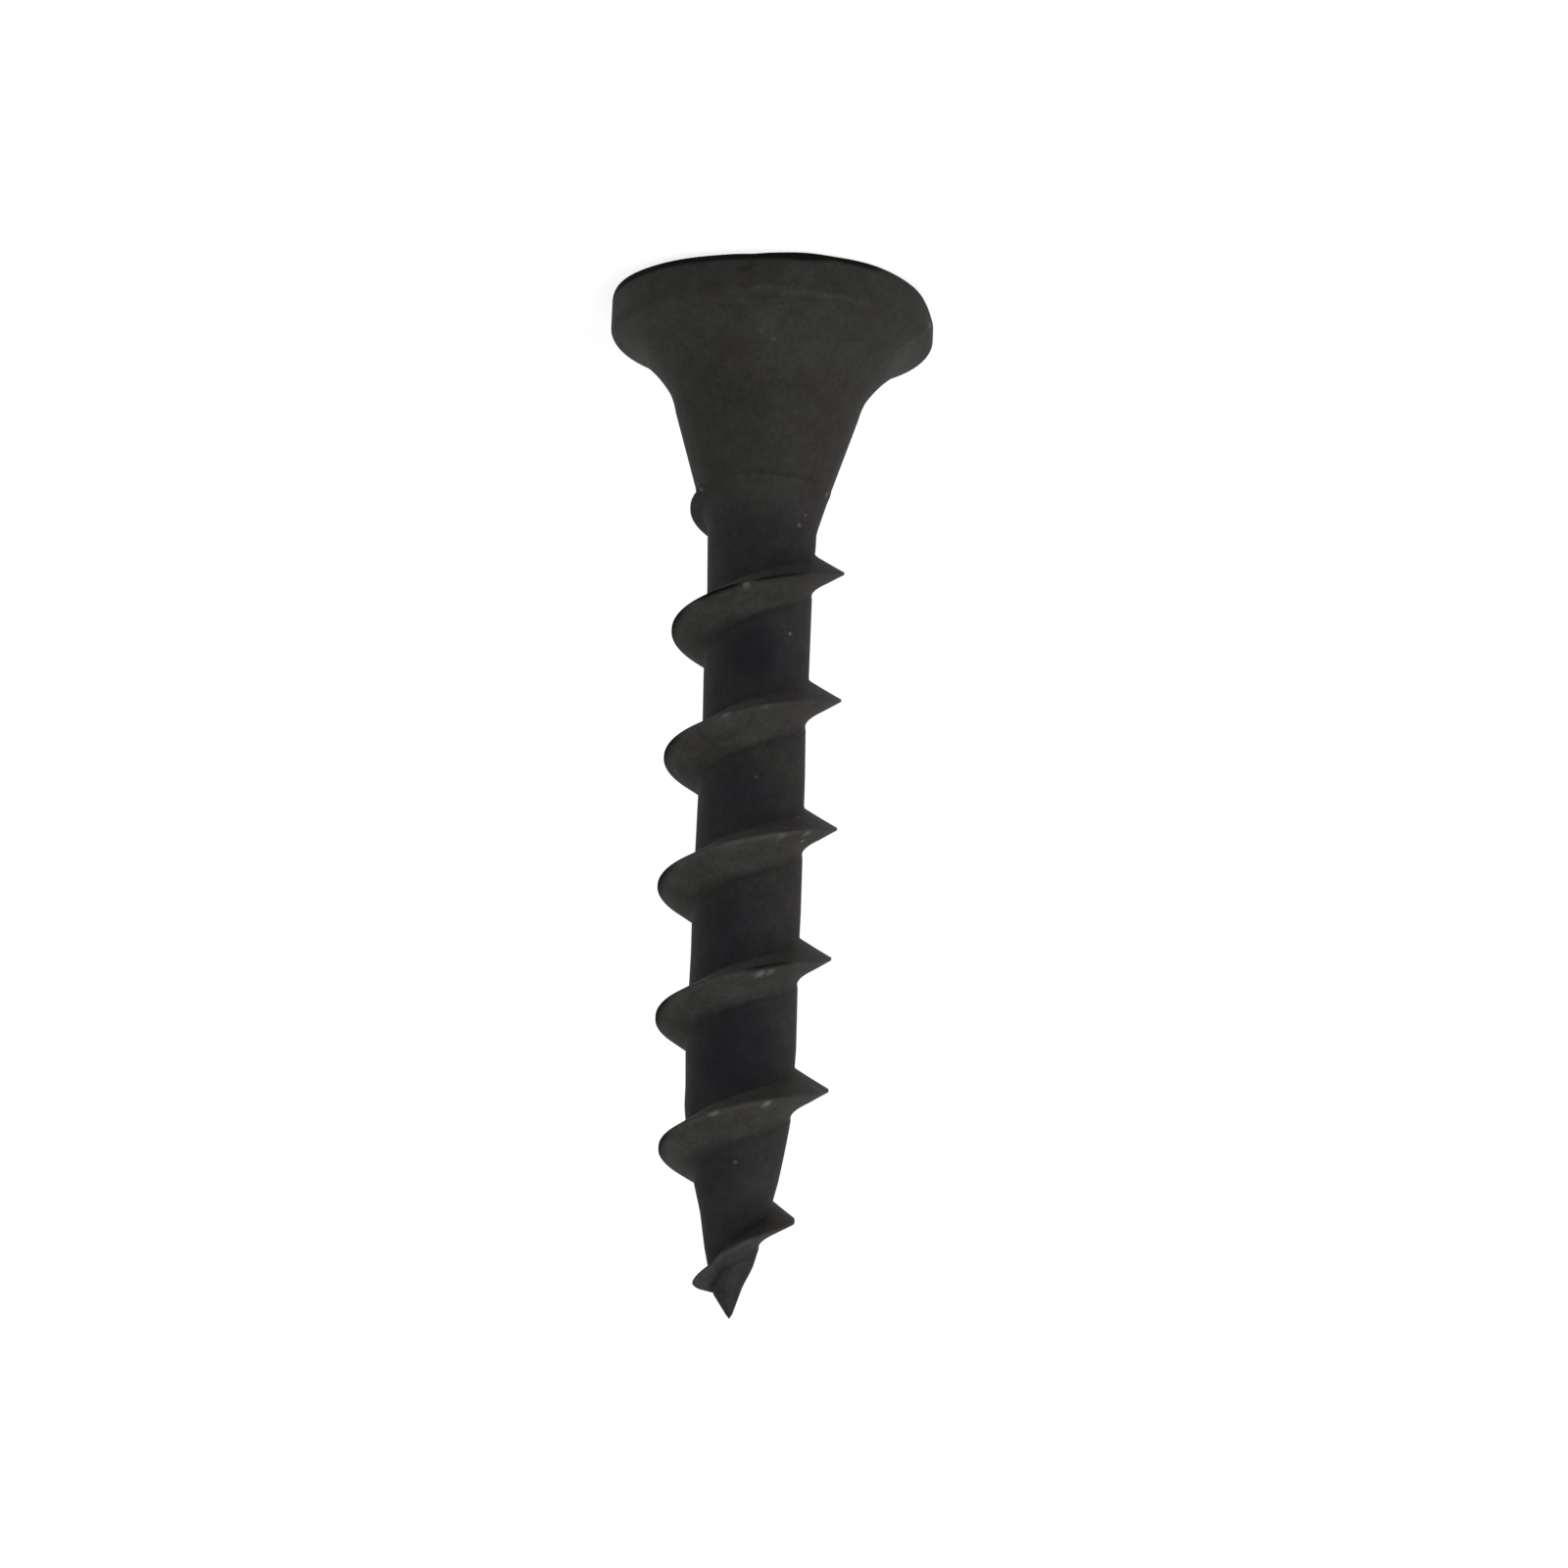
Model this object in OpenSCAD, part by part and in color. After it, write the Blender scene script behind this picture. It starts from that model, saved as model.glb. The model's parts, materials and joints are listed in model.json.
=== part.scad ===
// Coarse-thread bugle-head wood screw for MDF and plasterboard, 4.2 x 25 mm (No. 8 x 1 in).
// One piece of cold-headed wire with a rolled right-hand thread and a cross recess.
// It stands on the flat top of its head: the origin is the middle of that face, and +Z runs
// along the axis to the point.

/* [Length] */
// Whole length, from the top of the head to the point
screw_l = 25; // [22:0.1:60]
// Length of the tapered point, with its tip
point_l = 5; // [4.4:0.1:6]
// Length of the blunter cone at the very tip
tip_l = 0.75; // [0.6:0.05:0.9]
// Half angle of the tip's cone, from the axis
tip_angle = 27; // [22:1:30]

/* [Head] */
// Diameter of the head
head_d = 7.9; // [7.4:0.1:9]
// Rounding of the rim's edge at the top face
top_edge_r = 0.35; // [0.1:0.05:0.45]
// Height of the rim, from the top face to where its lower edge starts to round
rim_h = 0.9; // [0.6:0.05:1]
// Rounding of the rim's edge at the flare
flare_edge_r = 0.15; // [0.1:0.05:0.3]
// Height of the whole head, from the top face to the foot of the neck
head_h = 5.8; // [5.6:0.1:6.8]
// Half angle of the conical neck, from the axis
neck_angle = 17; // [14:0.5:19]
// Angle of the flare where it meets the rim, from the axis
flare_angle = 68; // [60:1:76]
// Step from the foot of the neck down to the shank
neck_step = 0.04; // [0.02:0.01:0.08]

/* [Recess] */
// Span of the cross at the top face
recess_span = 4.6; // [4.2:0.1:5]
// Width of one wing at the top face
wing_w = 1.1; // [0.9:0.05:1.3]
// Depth of the wings
wing_depth = 2.1; // [1.6:0.1:2.3]
// Slope of the wings' ends, from the axis
wing_slope = 26.5; // [22:0.5:30]
// Slope of the wings' side walls, from the axis
wing_draft = 3; // [1:0.5:6]
// Diameter of the round middle of the recess at the top face
recess_core_d = 2.7; // [2.4:0.1:3]

/* [Thread] */
// Diameter over the crests
thread_d = 4.2; // [3.8:0.02:4.8]
// Diameter of the shank between the threads
root_d = 2.55; // [2.3:0.01:2.9]
// Distance from one crest to the next along the axis
pitch = 3.175; // [2.8:0.025:3.6]
// Angle between the two flanks
flank_angle = 56; // [50:1:64]
// Width of the flat on the crest
crest_w = 0.06; // [0.03:0.01:0.15]
// Height at which the thread comes out of the neck
thread_start = 4.95; // [4.8:0.05:5.4]
// Angle about the axis at which the thread comes out of the neck, from +X
start_turn = -36; // [-180:1:180]
// Length over which the crest rises to its full height
run_in = 4.5; // [3:0.1:6]

/* [Hidden] */

phosphate_black = [0.2, 0.2, 0.2];
head_r = head_d / 2;
root_r = root_d / 2;
thread_r = thread_d / 2;
foot_r = root_r + neck_step;
point_z = screw_l - point_l;
tip_z = screw_l - tip_l;
tip_base_r = tip_l * tan(tip_angle);

round_steps = 96;
edge_steps = 4;
steps_per_turn = 48;
// The recess tool stands this far out of the top face, for a clean cut.
cut_over = 0.5;
// Half angle of the shallow cone at the bottom of the recess, from the axis
recess_tip_angle = 62;
// Between the shank and the tip's cone the radius falls as t^ogive_power: first slowly.
ogive_power = 1.25;
// The crest's radius rises as t^rise_power along the run-in: quickly at first, then slowly.
rise_power = 0.35;
// Inside the neck the ridge sinks with this slope, down to a trace of its height.
hidden_slope = 0.5;
trace_h = 0.03;
// How the ridge ends: [distance from the point, share of the full height]. It gets lower along
// the taper, dips, and stands up once more in the little horn where the rolling stopped.
ridge_ends = [[0.5, 0.04], [0.6, 0.25], [0.68, 0.5], [0.76, 0.58], [0.9, 0.45], [1.15, 0.28],
              [2.25, 0.8], [3.9, 0.86], [5.4, 0.96], [7, 1]];
end_gap = ridge_ends[0][0];
thread_end = screw_l - end_gap;
// The threaded body starts this far above thread_start, inside the neck.
hidden_lead = 0.9;
// Last ring of the threaded body's surface, this far from the point
last_ring_gap = 0.12;

function lerp(a, b, t) = a + (b - a) * t;
function clamp01(t) = min(1, max(0, t));

// Flare of the head: a straight neck runs from its foot towards the head, and an arc that is
// tangent to it carries on until it meets the rim at flare_angle. The neck's length and the
// arc's radius follow from the two end points.
flare_end_r = head_r - flare_edge_r * (1 - cos(flare_angle));
flare_end_z = rim_h + flare_edge_r * sin(flare_angle);
flare_dr = flare_end_r - foot_r;
flare_dz = head_h - flare_end_z;
turn_r = cos(neck_angle) - cos(flare_angle);
turn_z = sin(flare_angle) - sin(neck_angle);
flare_det = sin(neck_angle) * turn_z - cos(neck_angle) * turn_r;
flare_r = (sin(neck_angle) * flare_dz - cos(neck_angle) * flare_dr) / flare_det;
neck_l = (flare_dr * turn_z - flare_dz * turn_r) / flare_det;
neck_top_r = foot_r + neck_l * sin(neck_angle);
neck_top_z = head_h - neck_l * cos(neck_angle);

module head_section() {
    difference() {
        polygon(concat(
            [[0, 0]],
            [for (i = [0:edge_steps])
                let (a = 90 * i / edge_steps)
                [head_r - top_edge_r * (1 - sin(a)), top_edge_r * (1 - cos(a))]],
            [for (i = [0:edge_steps])
                let (a = flare_angle * i / edge_steps)
                [head_r - flare_edge_r * (1 - cos(a)), rim_h + flare_edge_r * sin(a)]],
            [[flare_end_r, neck_top_z], [0, neck_top_z]]
        ));
        translate([neck_top_r + flare_r * cos(neck_angle), neck_top_z + flare_r * sin(neck_angle)])
            circle(r = flare_r, $fn = 2 * round_steps);
    }
    polygon([[0, neck_top_z], [neck_top_r, neck_top_z], [foot_r, head_h], [0, head_h]]);
}

module head() {
    rotate_extrude($fn = round_steps)
        head_section();
}

// Radius of the shank at height z, down to the point
function shank_r(z) =
    z > tip_z
    ? (screw_l - z) * tan(tip_angle)
    : lerp(root_r, tip_base_r, pow(clamp01((z - point_z) / (tip_z - point_z)), ogive_power));

// Radius of the neck at height z
function neck_r(z) = foot_r + (head_h - z) * tan(neck_angle);

// Radius of the crest at height z: hidden in the neck, rising, full, then falling to the point
function rise(z) = pow(clamp01((z - thread_start) / run_in), rise_power);
function crest_r(z) =
    z < thread_start
    ? max(root_r + trace_h, neck_r(thread_start) - (thread_start - z) * hidden_slope)
    : z < thread_start + run_in
    ? lerp(neck_r(thread_start), thread_r, rise(z))
    : shank_r(z) + (thread_r - root_r) * lookup(screw_l - z, ridge_ends);

// The threaded body is one strip that winds about the axis, a turn wide. Each column of the
// strip holds its lower edge and the four corners of the ridge; the upper edge of a column is
// the lower edge of the column one turn on.
rows = 5;
strip_start = thread_start - hidden_lead;
steps = round(steps_per_turn * (thread_end - strip_start) / pitch);
strip_end = strip_start + pitch * steps / steps_per_turn;
last_edge_z = screw_l - last_ring_gap;

function crest_z(i) = strip_start + pitch * i / steps_per_turn;
function edge_z(i) =
    i <= steps
    ? crest_z(i) - pitch / 2
    : lerp(strip_end - pitch / 2, last_edge_z, (i - steps) / steps_per_turn);
function turned(r, z, i) =
    let (a = start_turn + 360 * (crest_z(i) - thread_start) / pitch)
    [r * cos(a), r * sin(a), z];
function on_shank(z, i) = turned(shank_r(z), z, i);

function column(i) =
    let (
        z = crest_z(i),
        top = crest_r(z),
        foot_w = crest_w / 2 + (top - shank_r(z)) * tan(flank_angle / 2)
    )
    [
        on_shank(edge_z(i), i),
        on_shank(z - foot_w, i),
        turned(top, z - crest_w / 2, i),
        turned(top, z + crest_w / 2, i),
        on_shank(min(z + foot_w, (z + last_edge_z) / 2), i)
    ];

function point_index(i, k) =
    k == rows ? point_index(i + steps_per_turn, 0) :
    i < steps ? rows * i + k :
    rows * steps + (i - steps);

module threaded_body() {
    points = concat(
        [for (i = [0:steps - 1]) each column(i)],
        [for (i = [steps:steps + steps_per_turn - 1]) on_shank(edge_z(i), i)],
        [[0, 0, strip_start], [0, 0, screw_l]]
    );
    inner_centre = len(points) - 2;
    tip = len(points) - 1;
    last_edge = steps + steps_per_turn - 1;
    strip = [for (i = [0:steps - 2], k = [0:rows - 1])
        let (
            a = point_index(i, k),
            b = point_index(i + 1, k),
            c = point_index(i + 1, k + 1),
            d = point_index(i, k + 1)
        )
        each [[a, c, b], [a, d, c]]];
    start_seam = [for (k = [0:rows - 1])
        [point_index(steps_per_turn - 1, 0), point_index(0, k + 1), point_index(0, k)]];
    end_seam = [for (k = [0:rows - 1])
        [point_index(steps, 0), point_index(steps - 1, k), point_index(steps - 1, k + 1)]];
    start_cap = [for (i = [0:steps_per_turn - 1])
        [inner_centre, point_index(i, 0), point_index((i + 1) % steps_per_turn, 0)]];
    point_cap = [for (i = [steps:last_edge])
        [tip, point_index(i == last_edge ? steps : i + 1, 0), point_index(i, 0)]];
    polyhedron(points, concat(strip, start_seam, end_seam, start_cap, point_cap));
}

// One pair of wings of the cross, with sloping ends and slightly sloping side walls
module wing_pair() {
    end_in = wing_depth * tan(wing_slope);
    end_out = cut_over * tan(wing_slope);
    wall_in = wing_depth * tan(wing_draft);
    wall_out = cut_over * tan(wing_draft);
    span = recess_span / 2;
    half_w = wing_w / 2;
    intersection() {
        rotate([90, 0, 0])
            linear_extrude(height = head_d, center = true)
                polygon([[-span - end_out, -cut_over], [span + end_out, -cut_over],
                         [span - end_in, wing_depth], [-span + end_in, wing_depth]]);
        rotate([90, 0, 90])
            linear_extrude(height = head_d, center = true)
                polygon([[-half_w - wall_out, -cut_over], [half_w + wall_out, -cut_over],
                         [half_w - wall_in, wing_depth], [-half_w + wall_in, wing_depth]]);
    }
}

module cross_recess() {
    wing_pair();
    rotate([0, 0, 90])
        wing_pair();
    core_r = recess_core_d / 2;
    core_low_r = recess_span / 2 - wing_depth * tan(wing_slope);
    slope = (core_r - core_low_r) / wing_depth;
    tip_h = core_low_r / tan(recess_tip_angle);
    rotate_extrude($fn = round_steps / 2)
        polygon([[0, -cut_over], [core_r + cut_over * slope, -cut_over],
                 [core_low_r, wing_depth], [0, wing_depth + tip_h]]);
}

module screw() {
    color(phosphate_black)
        union() {
            difference() {
                head();
                cross_recess();
            }
            threaded_body();
        }
}

screw();
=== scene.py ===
# %% [markdown]
# # A coarse-thread MDF screw, 4.2 x 25 mm
#
# The screw is one piece of steel wire. A header squeezes the flared head and its cross recess,
# flat dies roll the thread and the point, and a phosphate bath turns the steel dull black.
# The model stands as the real one stands by itself: on the flat top of its head, point up.
# The photograph was taken the other way up, so the camera is rolled and not the screw.
#
# The CAD model gives the frame and the sizes. This script dresses it with a finer mesh, which
# has rounded edges, a soft thread root, the mark of the rolling dies and worn crests, which also
# carry painted glints, a painted highlight line and painted shade.

import json
import math

import bmesh
import bpy
from mathutils import Matrix, Vector, noise

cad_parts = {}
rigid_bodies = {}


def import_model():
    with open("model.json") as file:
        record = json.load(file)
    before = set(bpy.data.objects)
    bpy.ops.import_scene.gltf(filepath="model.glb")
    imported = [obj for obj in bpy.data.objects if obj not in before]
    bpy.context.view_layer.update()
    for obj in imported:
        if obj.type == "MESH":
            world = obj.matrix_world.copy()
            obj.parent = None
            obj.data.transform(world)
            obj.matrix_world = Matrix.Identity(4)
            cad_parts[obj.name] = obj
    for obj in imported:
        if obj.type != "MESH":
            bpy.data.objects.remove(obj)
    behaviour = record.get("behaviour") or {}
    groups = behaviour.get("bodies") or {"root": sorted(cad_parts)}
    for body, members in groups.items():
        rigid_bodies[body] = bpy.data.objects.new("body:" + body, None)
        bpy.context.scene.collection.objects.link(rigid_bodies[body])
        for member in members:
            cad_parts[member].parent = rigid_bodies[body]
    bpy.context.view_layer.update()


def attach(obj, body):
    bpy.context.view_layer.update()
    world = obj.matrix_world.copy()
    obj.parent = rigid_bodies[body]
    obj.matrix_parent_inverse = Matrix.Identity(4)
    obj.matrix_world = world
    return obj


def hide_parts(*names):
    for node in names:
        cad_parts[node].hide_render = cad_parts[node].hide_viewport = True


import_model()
MM = 0.001

# %% [markdown]
# ## Sizes
#
# All sizes are in millimetres, and heights count from the flat top of the head, on which the
# screw stands, up to the point. They are the sizes of the CAD source, apart from five that were
# measured once more on the finished skin: the height of the rim, the rounding of its lower edge,
# the angle of the flare, the step at the foot of the neck and the slope of the lower flank.

# %% Sizes
SCREW_L = 25.0
POINT_L = 5.0
TIP_L = 0.75
TIP_ANGLE = math.radians(27)
HEAD_R = 3.95
TOP_EDGE_R = 0.35
RIM_H = 0.89
FLARE_EDGE_R = 0.24
HEAD_H = 5.8
NECK_ANGLE = math.radians(17)
FLARE_ANGLE = math.radians(67)
NECK_STEP = 0.02
THREAD_R = 2.1
ROOT_R = 1.275
PITCH = 3.175
HALF_FLANK = math.radians(28)
HALF_LOWER_FLANK = math.radians(30.5)
CREST_W = 0.06
THREAD_START = 4.95
START_TURN = math.radians(-36)
RUN_IN = 4.5
RISE_POWER = 0.35
OGIVE_POWER = 1.25
FOOT_R = ROOT_R + NECK_STEP
TIP_BASE_R = TIP_L * math.tan(TIP_ANGLE)
# Columns of faces in one turn round the axis
COLUMNS = 144
print("length over pitch:", round(SCREW_L / PITCH, 2))

# %% [markdown]
# ## The camera
#
# The silhouette of the photographed screw was fitted with a camera: 118 mm away, 13 degrees
# above the horizon as seen from the standing screw, and rolled so that the head is at the
# picture's top. The lens is a long one, because the head and the point show hardly any
# difference in scale. A Track To constraint would aim it too, but would choose the roll by
# itself; three axes built by hand keep both exact.

# %% Camera
VIEW_ELEVATION = math.radians(13.1)
VIEW_ROLL = math.radians(2.284)
VIEW_DISTANCE = 117.62
LOOK_AT = Vector((0, 0, 12.57))
# How far the camera is moved sideways and up, to put the screw where the picture has it
AIM_RIGHT, AIM_UP = 0.79, 0.38
FOCAL_LENGTH, SENSOR_WIDTH = 112.5, 36
NEAREST, FARTHEST = 1, 5000

sin_e, cos_e = math.sin(VIEW_ELEVATION), math.cos(VIEW_ELEVATION)
sin_r, cos_r = math.sin(VIEW_ROLL), math.cos(VIEW_ROLL)
forward = Vector((0, cos_e, -sin_e))
right = Vector((-cos_r, -sin_e * sin_r, -sin_r * cos_e))
up = Vector((sin_r, -sin_e * cos_r, -cos_r * cos_e))
eye = LOOK_AT - forward * VIEW_DISTANCE + right * AIM_RIGHT + up * AIM_UP

lens = bpy.data.cameras.new("camera")
lens.sensor_width = SENSOR_WIDTH
lens.lens = FOCAL_LENGTH
lens.clip_start = NEAREST * MM
lens.clip_end = FARTHEST * MM
camera = bpy.data.objects.new("camera", lens)
turn_to_view = Matrix((right, up, -forward)).transposed().to_4x4()
camera.matrix_world = Matrix.Translation(eye * MM) @ turn_to_view
bpy.context.scene.collection.objects.link(camera)
bpy.context.scene.camera = camera
print("camera at", [round(c, 1) for c in eye], "mm")

# %% [markdown]
# ## The head: a wire turned on a lathe
#
# The head is round, so its outline is drawn once as a wire and spun about the axis. The wire
# has corners only; the roundings are bevels on the rings that the corners leave, because a
# bevel makes a true arc from one number. The big hollow of the flare is such a bevel too:
# a flank of 67 degrees meets the neck of 17 degrees, and an arc of 2.9 mm radius joins them.
# The arc's radius follows from its two ends, the rim and the foot of the neck.

# %% Flare geometry
flare_end = (
    HEAD_R - FLARE_EDGE_R * (1 - math.cos(FLARE_ANGLE)),
    RIM_H + FLARE_EDGE_R * math.sin(FLARE_ANGLE),
)
flare_dr = flare_end[0] - FOOT_R
flare_dz = HEAD_H - flare_end[1]
turn_r = math.cos(NECK_ANGLE) - math.cos(FLARE_ANGLE)
turn_z = math.sin(FLARE_ANGLE) - math.sin(NECK_ANGLE)
flare_det = math.sin(NECK_ANGLE) * turn_z - math.cos(NECK_ANGLE) * turn_r
flare_r = (math.sin(NECK_ANGLE) * flare_dz - math.cos(NECK_ANGLE) * flare_dr) / flare_det
flare_tangent = flare_r * math.tan((FLARE_ANGLE - NECK_ANGLE) / 2)
flare_corner = (
    flare_end[0] - flare_tangent * math.sin(FLARE_ANGLE),
    flare_end[1] + flare_tangent * math.cos(FLARE_ANGLE),
)
rim_corner_z = flare_end[1] - (HEAD_R - flare_end[0]) / math.tan(FLARE_ANGLE)
print("flare arc", round(flare_r, 3), "mm, corner at", [round(c, 2) for c in flare_corner])


def neck_r(z):
    return FOOT_R + (HEAD_H - z) * math.tan(NECK_ANGLE)


# %% [markdown]
# The wire starts at a ring on the flat face, because the middle of the face is filled later,
# with the recess. It ends on the plain cone of the neck, where the thread's strip is joined on.
# Spin is the lathe; it closes the last column on the first.

# %% Turn the head
JOIN_Z = 4.6
FACE_RING_R = 3.0
# Points nearer than this to a ring or a level lie on it, in mm
EPS = 0.002
FLARE_SEGMENTS, FLARE_EDGE_SEGMENTS, TOP_EDGE_SEGMENTS = 24, 6, 8


def wire(bm, corners):
    verts = [bm.verts.new((r * MM, 0, z * MM)) for r, z in corners]
    return verts + [bm.edges.new(pair) for pair in zip(verts, verts[1:])]


def ring_edges(bm, r, z):
    def on_ring(v):
        gap = abs(math.hypot(v.co.x, v.co.y) / MM - r)
        return gap < EPS and abs(v.co.z / MM - z) < EPS

    return [e for e in bm.edges if on_ring(e.verts[0]) and on_ring(e.verts[1])]


def round_ring(bm, r, z, offset, segments):
    bmesh.ops.bevel(
        bm,
        geom=ring_edges(bm, r, z),
        offset=offset * MM,
        offset_type="OFFSET",
        segments=segments,
        profile=0.5,
        affect="EDGES",
        material=-1,
    )


neck_end = (neck_r(JOIN_Z), JOIN_Z)
corners = [(FACE_RING_R, 0), (HEAD_R, 0), (HEAD_R, rim_corner_z), flare_corner, neck_end]
bm = bmesh.new()
outline = wire(bm, corners)
bmesh.ops.spin(
    bm,
    geom=outline,
    cent=(0, 0, 0),
    axis=(0, 0, 1),
    dvec=(0, 0, 0),
    angle=2 * math.pi,
    steps=COLUMNS,
    use_merge=True,
)
flare_edge_tangent = FLARE_EDGE_R * math.tan(FLARE_ANGLE / 2)
round_ring(bm, *flare_corner, flare_tangent, FLARE_SEGMENTS)
round_ring(bm, HEAD_R, rim_corner_z, flare_edge_tangent, FLARE_EDGE_SEGMENTS)
round_ring(bm, HEAD_R, 0, TOP_EDGE_R, TOP_EDGE_SEGMENTS)
print("head:", len(bm.faces), "faces")

# %% [markdown]
# A header never fills its die evenly. In the photograph the edge of the top face is sharper in
# some places than in others, and has a small nick. A bevel has one width only, so the rounding
# is redrawn with a radius that changes round the head: each point keeps its place along the arc.

# %% Uneven top edge
# Each swelling of the edge radius: direction in degrees, width in degrees, change in mm
EDGE_SWELLINGS = [
    (-172, 12, 0.28), (-124, 20, -0.23), (-101, 9, -0.12), (-82, 4, 0.06),
    (-72, 16, 0.1), (-15, 26, -0.18), (60, 40, 0.08), (120, 20, -0.1),
]


def edge_r(direction):
    """Radius of the top edge's rounding in this direction, in degrees from +X."""

    def away(d):
        return (direction - d + 180) % 360 - 180

    return TOP_EDGE_R + sum(h * math.exp(-((away(d) / w) ** 2)) for d, w, h in EDGE_SWELLINGS)


for v in bm.verts:
    x, y, z = v.co / MM
    gap = HEAD_R - math.hypot(x, y)
    if z < TOP_EDGE_R + EPS and gap < TOP_EDGE_R + EPS:
        along = math.asin(max(-1, min(1, 1 - gap / TOP_EDGE_R)))
        new_r = edge_r(math.degrees(math.atan2(y, x)))
        if z > TOP_EDGE_R - EPS:
            along = math.pi / 2
        v.co.xy = v.co.xy.normalized() * (HEAD_R - new_r * (1 - math.sin(along))) * MM
        v.co.z = new_r * (1 - math.cos(along)) * MM
edge_radii = [edge_r(direction) for direction in range(-180, 180)]
print("edge radius from", round(min(edge_radii), 2), "to", round(max(edge_radii), 2), "mm")

# %% [markdown]
# ## The cross recess
#
# The recess is a cross with sloping ends and a rounded middle, punched into the flat face.
# A Boolean with a cross-shaped cutter would do it, but would leave long thin faces in the
# head. Instead the flat face is scored with straight cuts, so that its cells show the cross.

# %% Score the flat face
RECESS_SPAN = 4.6
WING_W = 1.1
# The slanted cuts that widen the middle meet the two axes this far out
CORE_REACH = 1.62
# Points nearer than this to a cutting plane lie on it, in metres
CUT_TOLERANCE = 1e-8


def face_cells(bm):
    def on_flat_face(v):
        reach = (FACE_RING_R + EPS) * MM
        return abs(v.co.z) < EPS * MM and math.hypot(v.co.x, v.co.y) < reach

    return [f for f in bm.faces if all(on_flat_face(v) for v in f.verts)]


def score(bm, normal, distance):
    cells = face_cells(bm)
    edges = list(dict.fromkeys(e for f in cells for e in f.edges))
    verts = list(dict.fromkeys(v for f in cells for v in f.verts))
    n = Vector(normal).normalized()
    bmesh.ops.bisect_plane(
        bm,
        geom=cells + edges + verts,
        dist=CUT_TOLERANCE,
        plane_co=n * distance * MM,
        plane_no=n,
    )


bmesh.ops.holes_fill(bm, edges=ring_edges(bm, FACE_RING_R, 0), sides=0)
for axis in ((1, 0, 0), (0, 1, 0)):
    for distance in (WING_W / 2, RECESS_SPAN / 2):
        score(bm, axis, distance)
        score(bm, axis, -distance)
for axis in ((1, 1, 0), (1, -1, 0)):
    score(bm, axis, CORE_REACH / math.sqrt(2))
    score(bm, axis, -CORE_REACH / math.sqrt(2))
print("face cells:", len(face_cells(bm)))

# %% [markdown]
# The cells that lie in the cross are pushed in and drawn together at the bottom, as the punch
# does, and the middle one is poked to a shallow cone. Extruding a region keeps the faces that
# it starts from, and they would close the recess like a lid, so they are deleted.

# %% Punch the cross
WING_DEPTH = 2.1
# Where the ends and the sides of the wings, and the widened middle, meet the recess's floor
FLOOR_END, FLOOR_SIDE, FLOOR_CORE = 1.25, 0.44, 0.86
CONE_DEPTH = 0.5


def in_cross(f):
    x, y = (abs(c) / MM for c in f.calc_center_median().xy)
    wing = min(x, y) < WING_W / 2 and max(x, y) < RECESS_SPAN / 2
    return wing or (x + y < CORE_REACH and max(x, y) < RECESS_SPAN / 2)


def drawn_in(c):
    """Where a wall that starts at c, from the axis, meets the floor of the recess."""
    side, core, end = WING_W / 2, CORE_REACH - WING_W / 2, RECESS_SPAN / 2
    a = abs(c) / MM
    if a <= side:
        r = a * FLOOR_SIDE / side
    elif a <= core:
        r = FLOOR_SIDE + (a - side) * (FLOOR_CORE - FLOOR_SIDE) / (core - side)
    else:
        r = FLOOR_CORE + (a - core) * (FLOOR_END - FLOOR_CORE) / (end - core)
    return math.copysign(r * MM, c)


cross = [f for f in face_cells(bm) if in_cross(f)]
punched = bmesh.ops.extrude_face_region(bm, geom=cross)["geom"]
bmesh.ops.delete(bm, geom=cross, context="FACES")
floor_verts = [g for g in punched if isinstance(g, bmesh.types.BMVert)]
for v in floor_verts:
    v.co = (drawn_in(v.co.x), drawn_in(v.co.y), WING_DEPTH * MM)
floor_cells = [g for g in punched if isinstance(g, bmesh.types.BMFace)]
middle = [f for f in floor_cells if f.calc_center_median().xy.length < EPS * MM]
cone_tip = bmesh.ops.poke(bm, faces=middle)["verts"]
bmesh.ops.translate(bm, verts=cone_tip, vec=(0, 0, CONE_DEPTH * MM))
print("recess:", len(floor_verts), "floor points,", len(cone_tip), "cone tip")

# %% [markdown]
# ## The thread: a strip wound about the axis
#
# A thread is the same short outline repeated round a helix. The spin operator takes a small
# step up the axis with each step of its turn, so one wire, a pitch long, winds into a tube
# whose turns close on each other. A Screw modifier winds such a wire too, but it can't be cut
# and shaped point by point. The wire is subdivided more closely where the ridge will be.

# %% Wind the strip
HALF_BASE = CREST_W / 2 + (THREAD_R - ROOT_R) * math.tan(HALF_FLANK)
# The soft root reaches this far past the foot of the flank
ROOT_MARGIN = 0.3
ROOT_ZONE = HALF_BASE + ROOT_MARGIN
# The tube ends this far short of the point, and its last ring is closed by the tip
TIP_STUMP = 0.05
TIP_CUT_Z = SCREW_L - TIP_STUMP
WIND_FROM = JOIN_Z - PITCH
# One turn more than the body needs at each end, for the level cuts
TURNS = math.ceil((TIP_CUT_Z - JOIN_Z) / PITCH) + 2
# Points of neighbouring turns that lie nearer than this are one point, in mm
TURN_GAP = 0.003

thread = bmesh.new()
to_head = [-PITCH / 2, -ROOT_ZONE, -HALF_BASE, -CREST_W / 2]
offsets = to_head + [-d for d in reversed(to_head)]
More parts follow.
